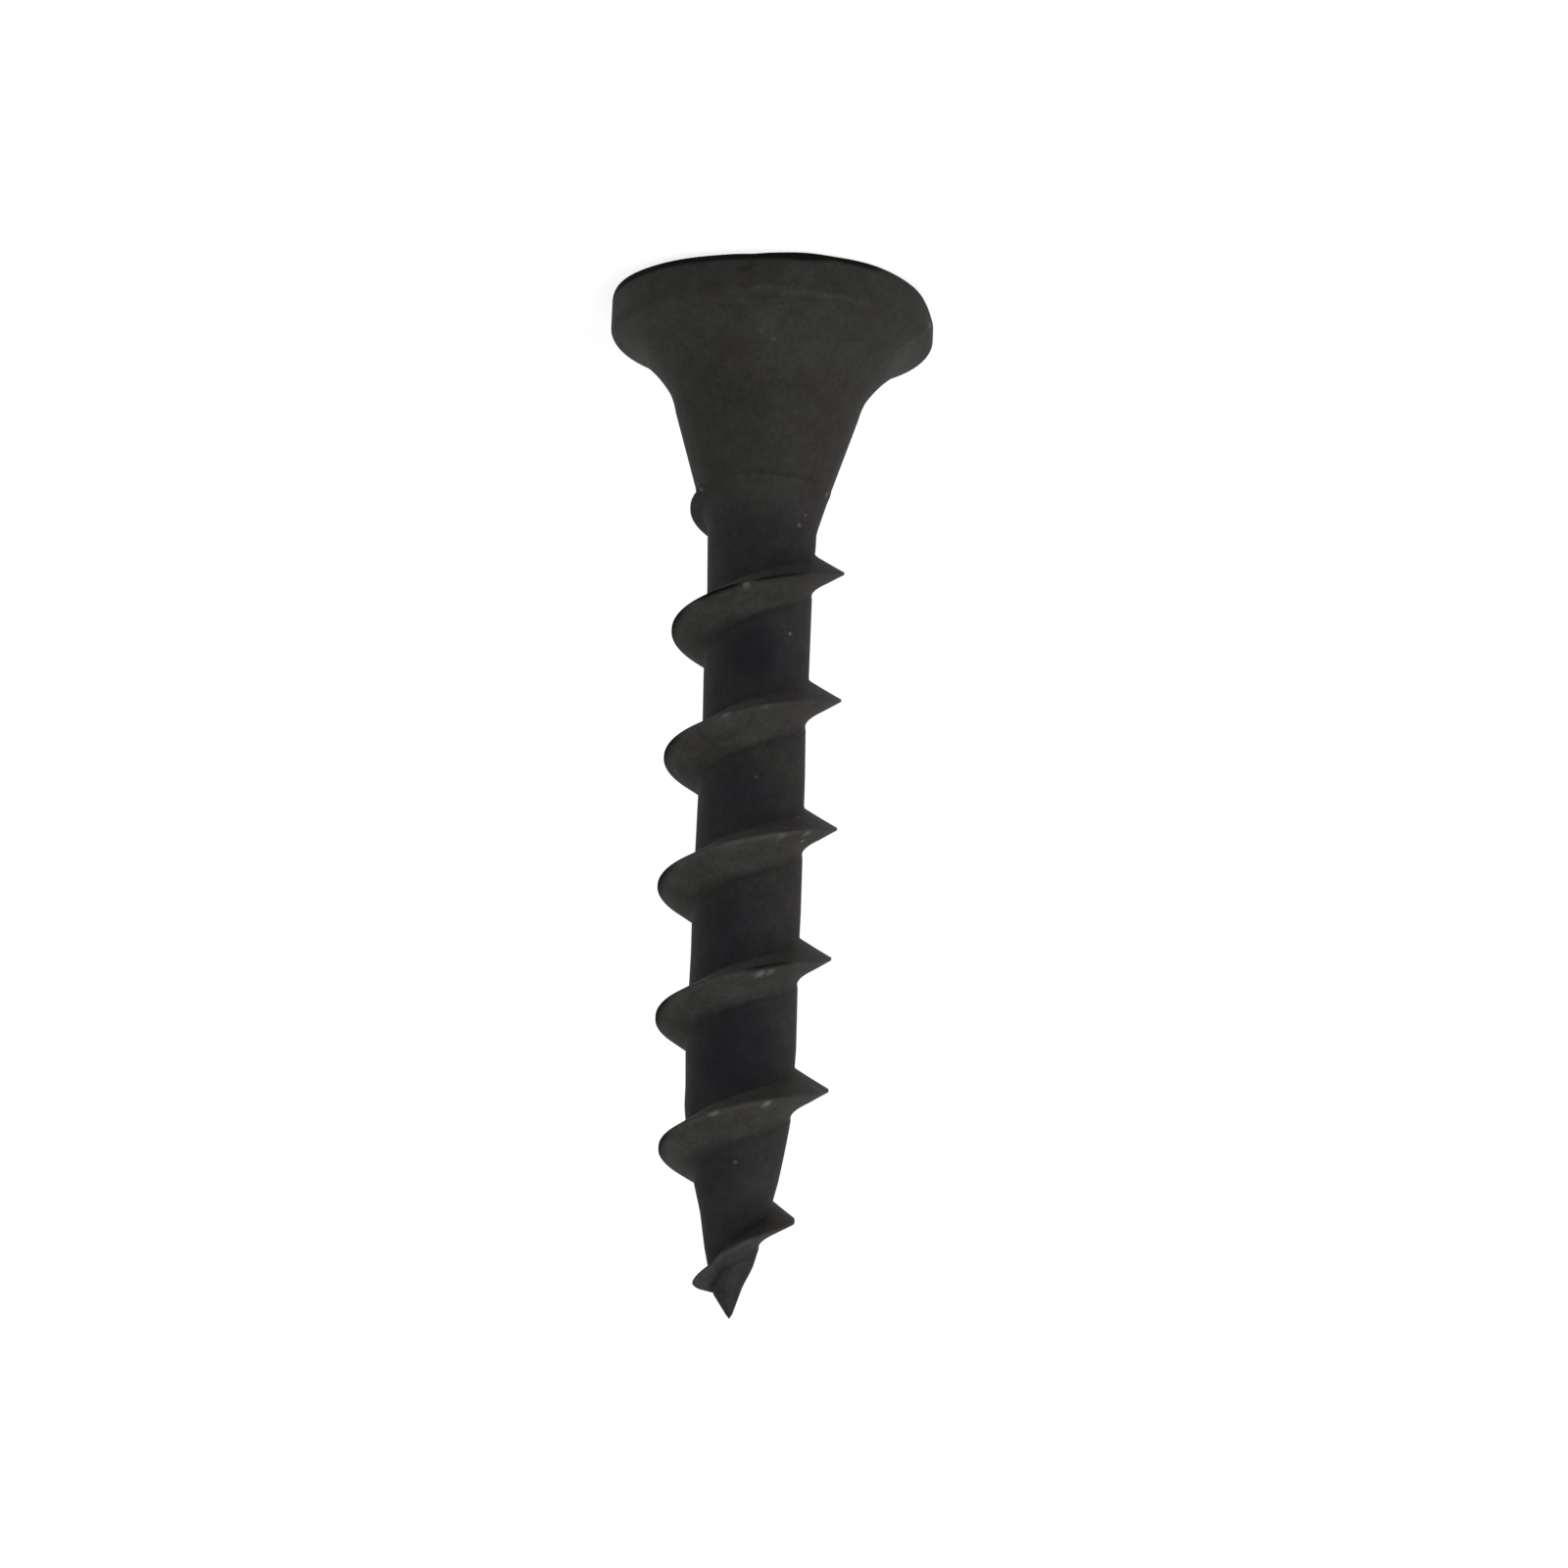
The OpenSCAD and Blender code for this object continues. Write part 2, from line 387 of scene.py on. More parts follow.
# How many points each stretch of the wire gets between its ends
cuts = [4, 3, 8, 1, 8, 4, 4]
strip = wire(thread, [(ROOT_R, WIND_FROM + d) for d in offsets])
for edge, count in zip([g for g in strip if isinstance(g, bmesh.types.BMEdge)], cuts):
    bmesh.ops.subdivide_edges(thread, edges=[edge], cuts=count)
start_angle = START_TURN + 2 * math.pi * (WIND_FROM - THREAD_START) / PITCH
to_start = Matrix.Rotation(start_angle, 3, "Z")
bmesh.ops.rotate(thread, verts=thread.verts, cent=(0, 0, 0), matrix=to_start)
bmesh.ops.spin(
    thread,
    geom=list(thread.verts) + list(thread.edges),
    cent=(0, 0, 0),
    axis=(0, 0, 1),
    dvec=(0, 0, PITCH * MM / COLUMNS),
    angle=2 * math.pi,
    steps=COLUMNS,
)
one_turn = list(thread.verts) + list(thread.edges) + list(thread.faces)
for turn in range(1, TURNS):
    copy = bmesh.ops.duplicate(thread, geom=one_turn)["geom"]
    new_verts = [g for g in copy if isinstance(g, bmesh.types.BMVert)]
    bmesh.ops.translate(thread, verts=new_verts, vec=(0, 0, turn * PITCH * MM))
bmesh.ops.remove_doubles(thread, verts=thread.verts, dist=TURN_GAP * MM)
print("strip:", len(thread.faces), "faces in", TURNS, "turns")

# %% [markdown]
# The tube is cut level at both ends while it is still plain, because a cut through the finished
# ridge would leave slivers. Its upper end is filled and poked, which gives the pole of the tip.


# %% Cut it level
def cut_level(bm, z, keep_above):
    bmesh.ops.bisect_plane(
        bm,
        geom=list(bm.verts) + list(bm.edges) + list(bm.faces),
        dist=CUT_TOLERANCE,
        plane_co=(0, 0, z * MM),
        plane_no=(0, 0, 1),
        clear_inner=keep_above,
        clear_outer=not keep_above,
    )


cut_level(thread, JOIN_Z, keep_above=True)
cut_level(thread, TIP_CUT_Z, keep_above=False)
tip_ring = ring_edges(thread, ROOT_R, TIP_CUT_Z)
tip_face = bmesh.ops.holes_fill(thread, edges=tip_ring, sides=0)["faces"]
tip_pole = bmesh.ops.poke(thread, faces=tip_face)["verts"]
print("threaded body:", len(thread.faces), "faces, tip pole:", len(tip_pole))

# %% [markdown]
# ## Shaping the thread
#
# Each point of the tube is now set out to the radius that the shank, the neck, the point or the
# ridge has there. Doing the shaping last keeps the rows of the mesh along the thread, so the
# crest is crisp. Where the ridge ends at the point it gets lower, dips, and stands up once more
# in a little horn: there the rolling dies let go of the wire.

# %% What the rolling leaves uneven
# The end of the ridge: distance from the point in mm, share of the ridge's full height
RIDGE_ENDS = [
    (0.6, 0.02), (0.64, 0.36), (0.68, 0.47), (0.76, 0.54), (0.9, 0.45),
    (1.15, 0.28), (2.25, 0.8), (3.9, 0.86), (5.4, 0.96), (7, 1),
]
# The point leans a little to one side: distance from the point, shift along +X, in mm
LEAN = [(0, 0.015), (0.5, 0.1), (0.7, 0.1), (1.1, 0.04), (1.5, 0.03), (2.5, -0.01), (4, 0)]
# The head sits a little off the axis: height, shift along +X, in mm
HEAD_SHIFT = [(1, -0.04), (3, 0), (4.8, 0.02), (6, 0)]
# The neck is a little fuller than a true cone: height, change of radius in mm
NECK_SWELL = [(2.4, 0), (2.9, 0.062), (4.8, 0.055), (6, 0.05), (7.4, 0)]
# The crest isn't filled evenly either: height, change of its radius in mm
CREST_SWELL = [
    (4.9, -0.1), (5.3, -0.06), (6.86, 0.06), (8.44, 0.04), (10.03, -0.02), (11.62, 0.04),
    (13.2, -0.01), (14.79, 0.05), (16.38, -0.03), (17.97, -0.04), (19.4, 0.05), (21.14, 0.035),
    (22.7, 0), (25, 0),
]
# Nor is the shank quite even: height, change of its radius in mm
SHANK_SWELL = [
    (9.5, 0), (10.8, -0.03), (12, 0), (15.3, 0.025), (16.4, 0.01), (18.6, 0.04), (19.6, 0),
    (20.4, 0.01), (21.8, 0.035), (22.6, 0.01), (23.4, 0.04), (23.8, 0.04), (24.25, 0),
    (24.5, 0.05), (25, 0.056),
]
# The dies leave a faint ring on the neck: its height, its width and how far it stands out
DIE_MARK_Z, DIE_MARK_W, DIE_MARK_H = 4.93, 0.07, 0.018
# The neck blends into the shank over this width, and is past this height
NECK_BLEND, NECK_PAST = 0.04, HEAD_H + 1
print("crest swells from", min(dr for z, dr in CREST_SWELL), "to", max(dr for z, dr in CREST_SWELL))

# %% [markdown]
# Three radii describe every place along the axis: the tapering shank, the blank that the thread
# is rolled on, with its neck and its unevenness, and the crest. The crest rises quickly at first
# on the neck and then slowly. A smooth maximum joins two radii with a soft hollow, as a die does.


# %% Radii along the screw
def mix(a, b, t):
    """A value between a and b: a at t = 0, b at t = 1, and level beyond them."""
    return a + (b - a) * min(1, max(0, t))


def smooth_max(a, b, width):
    """The larger of two radii, with a soft passage of this width where they meet."""
    h = min(1, max(0, 0.5 + 0.5 * (a - b) / width))
    return mix(b, a, h) + width * h * (1 - h) / 2


def lookup(table, x):
    """Straight lines between the pairs of a table, level beyond its ends."""
    for (x0, y0), (x1, y1) in zip(table, table[1:]):
        if x < x1:
            return mix(y0, y1, (x - x0) / (x1 - x0))
    return table[-1][1]


def share_at(gap):
    """The ridge's share of its full height, at this distance from the point."""
    return 0 if gap <= RIDGE_ENDS[0][0] else lookup(RIDGE_ENDS, gap)


def shank_r(z):
    if z > SCREW_L - TIP_L:
        return (SCREW_L - z) * math.tan(TIP_ANGLE)
    along_taper = max(0, (z - SCREW_L + POINT_L) / (POINT_L - TIP_L))
    return mix(ROOT_R, TIP_BASE_R, along_taper**OGIVE_POWER)


def blank_r(z):
    mark = DIE_MARK_H * math.exp(-(((z - DIE_MARK_Z) / DIE_MARK_W) ** 2))
    swell = lookup(SHANK_SWELL, z)
    core = smooth_max(neck_r(z), shank_r(z), NECK_BLEND) if z < NECK_PAST else shank_r(z)
    return mark + swell + core


def crest_r(z):
    if z < THREAD_START:
        return neck_r(THREAD_START) - (THREAD_START - z)
    if z < THREAD_START + RUN_IN:
        return mix(neck_r(THREAD_START), THREAD_R, ((z - THREAD_START) / RUN_IN) ** RISE_POWER)
    return shank_r(z) + (THREAD_R - ROOT_R) * share_at(SCREW_L - z)


for z in (THREAD_START, THREAD_START + RUN_IN, SCREW_L - POINT_L):
    print("at", z, "mm: blank", round(blank_r(z), 3), "crest", round(crest_r(z), 3))

# %% [markdown]
# Driving and tumbling rub the sharp crest. Some spots of it are bright bare steel, and their
# brightness is a painted glint. In other places the crest is painted black, which is painted
# shade, and a faint painted highlight runs along the rest of it. These places are written on the
# mesh as an attribute, because they belong to this thread and not to a pattern; the material
# reads it later.

# %% Worn spots, painted glints and painted shade on the crest
# Each spot: turns from the start of the thread, half length in turns, distance from the crest
# along the axis in mm, half width in mm, strength (below 0 for dark, which is painted shade;
# above 0 for bare steel with a painted glint)
SPOTS = [
    (0.812, 0.05, 0.0, 0.035, -1.4), (0.93, 0.045, 0.0, 0.05, -1.5),
    (0.875, 0.007, 0.03, 0.05, 0.65), (1.90, 0.008, 0.0, 0.045, 0.32),
    (1.83, 0.005, 0.0, 0.045, 0.26), (2.80, 0.05, 0.0, 0.045, 0.1),
    (2.88, 0.02, 0.0, 0.045, 0.14), (2.735, 0.006, 0.05, 0.05, 0.5),
    (2.79, 0.006, 0.05, 0.05, 0.3), (3.805, 0.042, -0.05, 0.05, -1.3),
    (3.797, 0.006, 0.10, 0.05, 0.35), (3.818, 0.009, 0.10, 0.05, 0.6),
    (4.894, 0.010, 0.02, 0.04, 0.55), (4.84, 0.03, 0.0, 0.045, 0.1),
    (4.795, 0.006, 0.06, 0.05, 0.7), (4.658, 0.006, -0.11, 0.06, 0.3),
    (5.80, 0.03, 0.0, 0.045, 0.12), (5.90, 0.02, 0.0, 0.045, 0.15),
]
# The crest is painted black, as painted shade, for a stretch of every turn, at this share of it
BLACK_AT = 0.065
SPOTS += [(turn + BLACK_AT, 0.06, 0.0, 0.07, -1.3) for turn in range(1, 6)]
# The rest of the crest has a faint painted highlight line, which comes up after the first turn
CREST_PAINTED_HIGHLIGHT = 0.06
HIGHLIGHT_FROM, HIGHLIGHT_RISE = 1.2, 2


def wear_and_painted_light_at(turn, beside):
    """Bare steel and painted glint up to 1, or painted black shade down to -1."""
    line = CREST_PAINTED_HIGHLIGHT * mix(0, 1, HIGHLIGHT_RISE * (turn - HIGHLIGHT_FROM))
    total = line * math.exp(-((beside / CREST_W) ** 2))
    for at, half_l, off, half_w, strength in SPOTS:
        along, across = (turn - at) / half_l, (beside - off) / half_w
        total += strength * math.exp(-(along**4)) * math.exp(-(across**2))
    return max(-1, min(1, total))


print(sum(spot[-1] > 0 for spot in SPOTS), "bare and", sum(spot[-1] < 0 for spot in SPOTS), "black")

# %% [markdown]
# The ridge is described by one number, the distance of a point from the nearest crest along the
# axis. From the crest to its foot the flank is straight. The flank that faces the point has the
# wider and softer root of the two, most of all on the last turn; only the horn is steep again.

# %% The ridge
# A ridge lower than this isn't there
NO_RIDGE = 0.01
# The foot of the last flank stays short of the tip
LAST_FOOT_Z = SCREW_L - 0.12
# The horn starts here, its lower flank has this share of the others' width, and both that
# flank and its root get there over this length
HORN_FROM_Z, HORN_STEEPNESS, HORN_RAMP = 23.9, 0.3, 0.3
# Width over which the ridge blends into the shank: towards the head, towards the point, and
# towards the point on the last turn, which starts here and has it after this length
ROOT_BLEND, LOWER_ROOT_BLEND, LAST_ROOT_BLEND = 0.16, 0.4, 0.6
LAST_TURN_Z, LAST_TURN_RAMP = 19.6, 1.5
LEAST_BLEND = 0.001


def nearest_crest(v):
    """Height of the crest beside this point, and the point's distance from it along the axis."""
    z = v.co.z / MM
    turns = (z - THREAD_START) / PITCH - (math.atan2(v.co.y, v.co.x) - START_TURN) / (2 * math.pi)
    beside = (turns - round(turns)) * PITCH
    return z - beside, beside


def ridge_r(top, crest_z, beside):
    """Radius of the ridge's straight flank, which runs from its crest to its foot on the shank."""
    if top - shank_r(crest_z) < NO_RIDGE:
        return 0
    half_flank = HALF_LOWER_FLANK if beside > 0 else HALF_FLANK
    foot_w = CREST_W / 2 + max(0, top - shank_r(crest_z)) * math.tan(half_flank)
    if beside > 0:
        foot_w *= mix(1, HORN_STEEPNESS, (crest_z - HORN_FROM_Z) / HORN_RAMP)
    foot_z = crest_z + math.copysign(foot_w, beside)
    foot_z = min(foot_z, (crest_z + LAST_FOOT_Z) / 2)
    foot_w = max(abs(foot_z - crest_z), CREST_W)
    t = (abs(beside) - CREST_W / 2) / (foot_w - CREST_W / 2)
    return top + (shank_r(foot_z) - top) * max(0, t)


def root_blend(crest_z, beside):
    """Width of the soft root on this side of the ridge."""
    if beside <= 0:
        return ROOT_BLEND
    towards_last = (crest_z - LAST_TURN_Z) / LAST_TURN_RAMP
    blend = mix(LOWER_ROOT_BLEND, LAST_ROOT_BLEND, towards_last)
    return mix(blend, ROOT_BLEND, (crest_z - HORN_FROM_Z) / HORN_RAMP)


print("ridge's foot", round(HALF_BASE, 3), "mm from its crest towards the head")

# %% [markdown]
# Now every point of the tube moves out to its radius. Each also keeps three numbers for the
# material: how much of the ridge stands there, how worn the place is together with its painted
# glint, highlight and shade, and how near it is to the foot of the flank that faces the point.

# %% Set each point out to its radius
# The point reaches a little further than its nominal length, as the photographed one does
POINT_REACH = 0.06
# A slow wave along the crest: its height in mm, and how often it comes in a mm
WAVE_H, WAVES_PER_MM = 0.012, 1.3
# The lighter tone at the foot of the flank, which is painted light: its distance from the crest,
# and its width
FOOT_AT, FOOT_W = 0.6, 0.35

ridge_layer = thread.verts.layers.float.new("ridge")
wear_and_painted_light_layer = thread.verts.layers.float.new("wear_and_painted_light")
foot_layer = thread.verts.layers.float.new("foot")
for v in thread.verts:
    if v.co.xy.length < EPS * MM:
        v.co.z = (SCREW_L + POINT_REACH) * MM
        continue
    z = v.co.z / MM
    crest_z, beside = nearest_crest(v)
    crest_z = min(crest_z, SCREW_L)
    under_crest = Vector((v.co.x, v.co.y, crest_z * MM)) / MM
    wave = WAVE_H * noise.noise(under_crest * WAVES_PER_MM)
    height = max(0, crest_r(crest_z) - shank_r(crest_z))
    top = crest_r(crest_z) + wave * min(1, height) + lookup(CREST_SWELL, crest_z)
    full_share = min(1, height / (THREAD_R - ROOT_R))
    blend = root_blend(crest_z, beside) * full_share + LEAST_BLEND
    r = smooth_max(ridge_r(top, crest_z, beside), blank_r(z), blend)
    r = min(r, max(top, blank_r(z)))
    v.co.xy = v.co.xy.normalized() * r * MM
    v[ridge_layer] = max(0, r - blank_r(z)) / (THREAD_R - ROOT_R)
    v[wear_and_painted_light_layer] = wear_and_painted_light_at((crest_z - THREAD_START) / PITCH, beside)
    v[foot_layer] = math.exp(-(((beside - FOOT_AT) / FOOT_W) ** 2))
for v in thread.verts:
    v.co.x += lookup(LEAN, SCREW_L - v.co.z / MM) * MM
print("crest radius reaches", round(max(v.co.xy.length for v in thread.verts) / MM, 3), "mm")

# %% [markdown]
# ## One piece
#
# The head and the threaded body meet on the plain cone of the neck, where both have the same
# radius. Bridging their two rings makes one closed skin, as on the real wire. The points on the
# axis, where there is no direction to swell in, are left alone.

# %% Join head and thread
# Points nearer than this are one point, and points further out than this can swell, in mm
JOIN_GAP = 0.0005
OFF_AXIS_R = 1
body_mesh = bpy.data.meshes.new("threaded_body")
thread.to_mesh(body_mesh)
thread.free()
bm.from_mesh(body_mesh)
bpy.data.meshes.remove(body_mesh)
open_rings = [e for e in bm.edges if e.is_boundary]
bmesh.ops.bridge_loops(bm, edges=open_rings)
bmesh.ops.remove_doubles(bm, verts=bm.verts, dist=JOIN_GAP * MM)
for v in bm.verts:
    z, r = v.co.z / MM, v.co.xy.length / MM
    if r > OFF_AXIS_R:
        v.co.xy *= 1 + lookup(NECK_SWELL, z) / r
    v.co.x += lookup(HEAD_SHIFT, z) * MM
bmesh.ops.recalc_face_normals(bm, faces=bm.faces)
open_edges = sum(not e.is_manifold for e in bm.edges)
print("edges that don't join two faces:", open_edges, "of", len(bm.edges))

# %% [markdown]
# The mesh becomes an object at the origin, with its place in its points. All faces are shaded
# smooth; only the crest and the recess turn sharply enough to stay edges.

# %% Make the object
SHARP_FROM = math.radians(38)
mesh = bpy.data.meshes.new("screw_skin")
bm.to_mesh(mesh)
bm.free()
mesh.polygons.foreach_set("use_smooth", [True] * len(mesh.polygons))
mesh.set_sharp_from_angle(angle=SHARP_FROM)
screw = bpy.data.objects.new("screw_skin", mesh)
bpy.context.scene.collection.objects.link(screw)
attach(screw, "root")
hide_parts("screw")
mesh.calc_loop_triangles()
print("screw:", len(mesh.loop_triangles), "triangles")

# %% [markdown]
# ## Black phosphate
#
# The bath grows a skin of tiny dark grey crystals on the steel. It scatters light almost like
# soot: there is no mirror in it, only a faint sheen, and its tone wanders a little from place to
# place. The material is therefore a dark, rough, non-metallic surface with mottling at several
# scales and a fine grain of bumps. It is built from nodes in code, and one function adds each
# node: the values go to the sockets that the node shows, from the top down, or by name.


# %% Helpers for the nodes
def hex_colour(code):
    """sRGB hex to the linear colour that a shader takes."""

    def linear(c):
        return c / 12.92 if c <= 0.04045 else ((c + 0.055) / 1.055) ** 2.4

    return [linear(int(code[i : i + 2], 16) / 255) for i in (0, 2, 4)] + [1]


def add_node(tree, kind, settings, *values, **named_values):
    """Adds a node with its settings and links. A node as a value is its first output."""
    node = tree.nodes.new("ShaderNode" + kind)
    for name, setting in settings.items():
        setattr(node, name, setting)
    filled = list(zip([s for s in node.inputs if s.enabled], values))
    filled += [(node.inputs[name.replace("_", " ")], v) for name, v in named_values.items()]
    for socket, value in filled:
        if isinstance(value, bpy.types.Node):
            value = next(s for s in value.outputs if s.enabled)
        if isinstance(value, bpy.types.NodeSocket):
            tree.links.new(value, socket)
        else:
            socket.default_value = value
    return node


def mm(*lengths):
    """Lengths in millimetres, turned to metres."""
    return [length * MM for length in lengths]


def per_mm(size):
    """Noise scale that gives a pattern of this size in millimetres."""
    return 1 / (size * MM)


TIMES, MINUS = {"operation": "MULTIPLY"}, {"operation": "SUBTRACT"}
PLUS, LARGER = {"operation": "ADD"}, {"operation": "MAXIMUM"}
# A soft step takes a value, where the step starts and ends, and what it gives before and after
SOFT_STEP = {"interpolation_type": "SMOOTHSTEP"}
# A mix of colours takes a share and two colours
COLOURS = {"data_type": "RGBA"}

# %% [markdown]
# The greys were read in the photograph. They differ by a few levels only, and the eye still
# tells the headed end from the rolled one by them. All patterns hang on Object coordinates, so
# they stay on the screw, and on the three numbers that the thread's points carry.

# %% Colours and places
HEAD_GREY = hex_colour("31312e")
LIT_FLANK_GREY = hex_colour("393936")
SHANK_GREY = hex_colour("2a292c")
DARK_BLUE_GREY = hex_colour("191921")
WARM_GREY = hex_colour("342d2c")
GREEN_GREY = hex_colour("31322a")
# Bare steel also serves the painted glints and highlights, and the black the painted shade
BARE_STEEL_AND_HIGHLIGHT = hex_colour("8c8987")
PAINTED_SHADE_AND_SPECK_BLACK = hex_colour("050505")

phosphate = bpy.data.materials.new("black_phosphate_on_steel")
phosphate.use_nodes = True
tree = phosphate.node_tree
shader = tree.nodes["Principled BSDF"]
place = add_node(tree, "TexCoord", {}).outputs["Object"]
axes = add_node(tree, "SeparateXYZ", {}, place)
across, height = axes.outputs["X"], axes.outputs["Z"]
foot = add_node(tree, "Attribute", {"attribute_name": "foot"}).outputs["Fac"]
ridge = add_node(tree, "Attribute", {"attribute_name": "ridge"}).outputs["Fac"]
wear_and_painted_light = add_node(tree, "Attribute", {"attribute_name": "wear_and_painted_light"}).outputs["Fac"]

# A spot has its full value up to this share of its radius
SPOT_CORE = 0.3


def near(centre, radius, outside=0.0, inside=1.0):
    """One value around a point given in mm, changing to the other at the radius."""
    gap = add_node(tree, "VectorMath", {"operation": "DISTANCE"}, place, mm(*centre))
    fade = mm(radius, radius * SPOT_CORE)
    return add_node(tree, "MapRange", SOFT_STEP, gap, *fade, outside, inside)


print("phosphate tree:", len(tree.nodes), "nodes so far")

# %% [markdown]
# The rolled shank between the threads is smoother than the headed end, so its crystals are finer
# and it looks darker and a little blue. The ridges keep the tone of the head, with a lighter grey
# that is painted light on their flanks. Along the foot of each lower flank the shank is painted
# lighter too, in the head's tone, which carries that painted light down onto the shank.

# %% Headed and rolled tones
# The rolled surface, in heights in mm: it comes in on the neck and fades near the tip
ROLLED_FROM, ROLLED_TO, ROLLED_AT_TIP = (5.1, 5.9), (24.5, 23.0), 0.6
# It is gone where the ridge stands this high, as a share of its full height
OFF_RIDGE = (0.16, 0.0)
# The lighter tone of the flanks, which is painted light: share of the ridge, and heights over
# which it comes in
FLANK_FROM, FLANK_HEIGHTS = (0.0, 0.25), (6.5, 9.0)
FOOT_SHARE = 0.6
# Dark blue patches of the shank: centre and radius in mm, depth
PATCHES = [
    ((0.1, -1.27, 9.2), 1.1, 1.0), ((0.1, -1.27, 12.5), 1.0, 0.5),
    ((0.6, -1.1, 15.7), 0.9, 0.5), ((0.4, -1.2, 16.5), 0.8, 0.45),
    ((0.1, -1.25, 18.9), 1.6, 0.85), ((0.0, -1.27, 6.0), 0.8, 0.3),
    ((0.1, -0.8, 21.9), 1.3, 0.2),
]

past_neck = add_node(tree, "MapRange", SOFT_STEP, height, *mm(*ROLLED_FROM))
before_tip = add_node(tree, "MapRange", SOFT_STEP, height, *mm(*ROLLED_TO), ROLLED_AT_TIP, 1.0)
off_ridge = add_node(tree, "MapRange", SOFT_STEP, ridge, *OFF_RIDGE)
rolled = add_node(tree, "Math", TIMES, past_neck, before_tip)
rolled = add_node(tree, "Math", TIMES, rolled, off_ridge)
on_ridge = add_node(tree, "MapRange", SOFT_STEP, ridge, *FLANK_FROM)
past_head = add_node(tree, "MapRange", SOFT_STEP, height, *mm(*FLANK_HEIGHTS))
lit_flank = add_node(tree, "Math", TIMES, on_ridge, past_head)
patches = 0.0
for centre, radius, depth in PATCHES:
    patch = add_node(tree, "Math", TIMES, near(centre, radius), depth)
    patches = add_node(tree, "Math", LARGER, patch, patches)

# The flanks' lighter grey and the lighter foot of each lower flank are painted light
head_and_lit_flank_tone = add_node(tree, "Mix", COLOURS, lit_flank, HEAD_GREY, LIT_FLANK_GREY)
painted_light_at_foot = add_node(tree, "Math", TIMES, foot, FOOT_SHARE)
rolled_tone = add_node(tree, "Mix", COLOURS, painted_light_at_foot, SHANK_GREY, HEAD_GREY)
rolled_tone = add_node(tree, "Mix", COLOURS, patches, rolled_tone, DARK_BLUE_GREY)
tone = add_node(tree, "Mix", COLOURS, rolled, head_and_lit_flank_tone, rolled_tone)
print("headed and rolled tones:", len(tree.nodes), "nodes so far")

# %% [markdown]
# The bath doesn't act evenly, and the grey drifts between warm and greenish over one or two
# millimetres. Two slow clouds of noise do that. One side of the shank is warmer as a whole, and
# the two lobes of the rim are greener. The blue patches stay clear of both.

# %% Warm and greenish drift
WARM_CLOUD, GREEN_CLOUD, CLOUD_DETAIL = 1.9, 1.3, 2.0
# Moves the second cloud away from the first, in metres
GREEN_CLOUD_FROM = (0.02, 0.03, 0.05)
# Where each cloud is thick enough to show, and how much of its colour it then gives
WARM_SHOWS, WARM_SHARE = (0.48, 0.68), 0.45
GREEN_SHOWS, GREEN_SHARE = (0.5, 0.7), 0.6
# The warm side: distance across the axis, and heights over which it comes in, in mm
WARM_SIDE, WARM_SIDE_HEIGHTS = (-0.4, -1.1), (1.8, 3.0)
# The green lobes of the rim: centre and radius in mm
GREEN_LOBES = [((3.0, -2.0, 1.0), 2.6), ((-3.2, -1.8, 1.3), 1.8)]

cloud = add_node(tree, "TexNoise", {}, place, per_mm(WARM_CLOUD), CLOUD_DETAIL)
in_cloud = add_node(tree, "MapRange", SOFT_STEP, cloud, *WARM_SHOWS)
to_side = add_node(tree, "MapRange", SOFT_STEP, across, *mm(*WARM_SIDE))
past_rim = add_node(tree, "MapRange", SOFT_STEP, height, *mm(*WARM_SIDE_HEIGHTS))
warm_side = add_node(tree, "Math", TIMES, to_side, past_rim)
warmth = add_node(tree, "Math", LARGER, in_cloud, warm_side)
warmth = add_node(tree, "Math", TIMES, warmth, WARM_SHARE)

moved = add_node(tree, "Mapping", {}, place, GREEN_CLOUD_FROM)
cloud = add_node(tree, "TexNoise", {}, moved, per_mm(GREEN_CLOUD), CLOUD_DETAIL)
in_cloud = add_node(tree, "MapRange", SOFT_STEP, cloud, *GREEN_SHOWS)
lobes = add_node(tree, "Math", LARGER, *[near(*lobe) for lobe in GREEN_LOBES])
greenness = add_node(tree, "Math", LARGER, in_cloud, lobes)
greenness = add_node(tree, "Math", TIMES, greenness, GREEN_SHARE)

off_patches = add_node(tree, "Math", MINUS, 1.0, patches)
warmth = add_node(tree, "Math", TIMES, warmth, off_patches)
tone = add_node(tree, "Mix", COLOURS, warmth, tone, WARM_GREY)
greenness = add_node(tree, "Math", TIMES, greenness, off_patches)
tone = add_node(tree, "Mix", COLOURS, greenness, tone, GREEN_GREY)
print("with its drift:", len(tree.nodes), "nodes so far")

# %% [markdown]
# The edge of the top face is black in the photograph, apart from one side of the rim. That black
# is painted shade, where the edge turns away from the light. It is a band of heights, a little
# wider on the side away from there, and it ends before the flat face.

# %% The black edge, painted shade
# The band's height in mm, how much wider it gets, and over which distances across the axis
BLACK_TO, WIDER_BY, WIDER_ACROSS = (0.24, 0.1), 0.09, (-1.6, -0.6)
# It comes in over these distances across the axis, and from the axis
BLACK_FROM_ACROSS, BLACK_FROM_R = (-2.9, -2.3), (3.5, 3.62)

